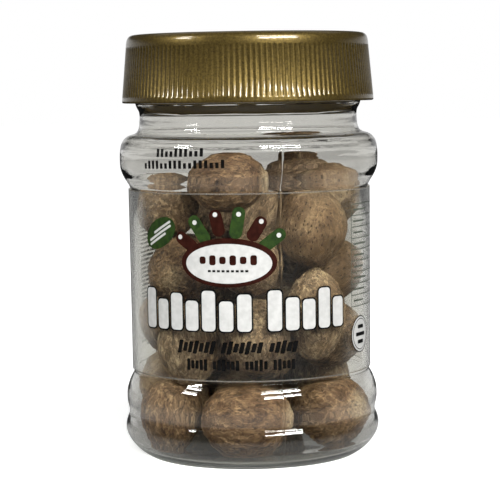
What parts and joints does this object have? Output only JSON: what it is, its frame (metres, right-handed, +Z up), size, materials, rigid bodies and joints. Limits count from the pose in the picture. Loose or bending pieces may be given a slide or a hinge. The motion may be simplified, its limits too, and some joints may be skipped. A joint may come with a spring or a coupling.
{
  "type": "jar of whole nutmegs",
  "caption": "Shut clear plastic jar with a gold ribbed screw lid and a clear printed film label, filled with a loose heap of whole nutmegs.",
  "frame": {"origin": "centre of the jar's foot, on the surface that it stands on", "axes": "+Z up along the jar's axis, towards the lid; the front of the label faces -Y; +X to the label's right"},
  "size_m": [0.0628, 0.0628, 0.1017],
  "materials": {
    "clear_pet": "clear glossy blown PET plastic",
    "label_film": "clear glossy printed film",
    "gold_plastic": "metallic gold moulded polypropylene, satin gloss",
    "nutmeg_seed": "dry wrinkled brown seed, matt"
  },
  "bodies": {
    "root": {"jar": "clear_pet", "lid": "gold_plastic", "label": "label_film", "nutmegs": "nutmeg_seed"}
  },
  "joints": []
}
